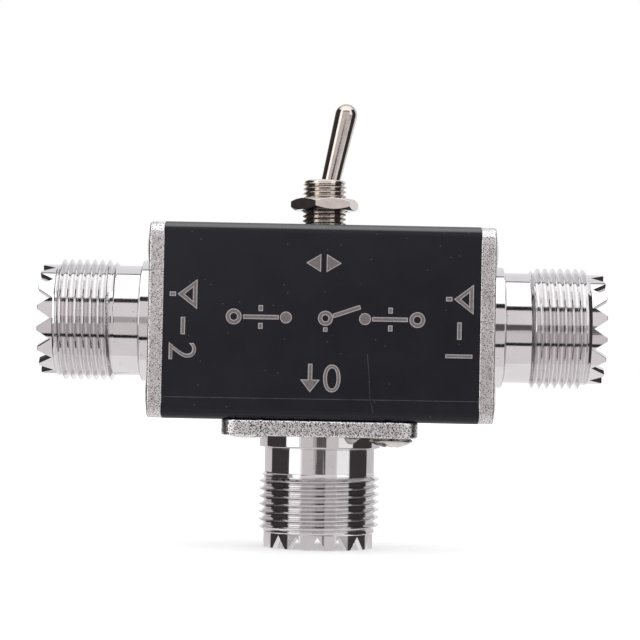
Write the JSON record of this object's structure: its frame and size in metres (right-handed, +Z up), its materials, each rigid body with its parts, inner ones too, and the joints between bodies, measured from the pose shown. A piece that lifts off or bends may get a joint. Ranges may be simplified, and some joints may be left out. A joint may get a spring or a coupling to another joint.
{
  "type": "coaxial antenna switch",
  "caption": "Small square-tube coaxial switch box: a toggle on top routes the lower threaded socket to one of two threaded sockets on the ends.",
  "frame": {"origin": "on the axis of the lower socket, in the plane of its toothed rim, on which the part stands", "axes": "+X along the case towards end socket 1, +Y away from the labelled front, +Z up towards the toggle"},
  "size_m": [0.0736, 0.025, 0.0584],
  "materials": {
    "black_anodised": "satin black anodised extrusion",
    "nickel_shell": "bright nickel plate on turned and cast brass",
    "ptfe": "white PTFE",
    "silver_contact": "silver plate",
    "screw_steel": "bright nickel-plated steel",
    "toggle_nickel": "nickel plate on brass",
    "spring_steel": "plain steel",
    "moulded_base": "blue phenolic moulding",
    "nylon": "natural nylon",
    "copper_wire": "bare copper"
  },
  "bodies": {
    "case": {"case_tube": "black_anodised", "ant1_socket_shell": "nickel_shell", "ant2_socket_shell": "nickel_shell", "tx_socket_shell": "nickel_shell", "ant1_insulator": "ptfe", "ant2_insulator": "ptfe", "tx_insulator": "ptfe", "ant1_contact": "silver_contact", "ant2_contact": "silver_contact", "tx_contact": "silver_contact", "ant1_flange_screws": "screw_steel", "ant2_flange_screws": "screw_steel", "tx_flange_screws": "screw_steel", "toggle_bushing": "toggle_nickel", "bushing_nut": "toggle_nickel", "lock_washer": "spring_steel", "toggle_frame": "spring_steel", "toggle_base": "moulded_base", "lever_pivot_pin": "spring_steel", "common_terminal": "silver_contact", "ant1_terminal": "silver_contact", "ant2_terminal": "silver_contact", "ant1_wire": "copper_wire", "ant2_wire": "copper_wire"},
    "lever": {"toggle_lever": "toggle_nickel", "plunger_spring": "spring_steel"},
    "plunger": {"lever_plunger": "nylon"},
    "rocker": {"rocker_contact": "silver_contact"}
  },
  "joints": [
    {"name": "lever_tilt", "type": "hinge", "parent": "case", "child": "lever", "pos_m": [0, 0, 0.0448], "axis": [0, -1, 0], "range_deg": [0, 24]},
    {"name": "plunger_slide", "type": "slide", "parent": "lever", "child": "plunger", "axis": [0.2079, 0, 0.9781], "range_m": [0, 0.0005], "stiffness_N_per_m": 300, "springref_m": -0.001, "deforming": ["plunger_spring"]},
    {"name": "rocker_tilt", "type": "hinge", "parent": "case", "child": "rocker", "pos_m": [0, 0, 0.03434], "axis": [0, 1, 0], "range_deg": [0, 20]}
  ],
  "couplings": [
    {"joint": "rocker_tilt", "follows": "lever_tilt", "ratio": 0.83333}
  ]
}
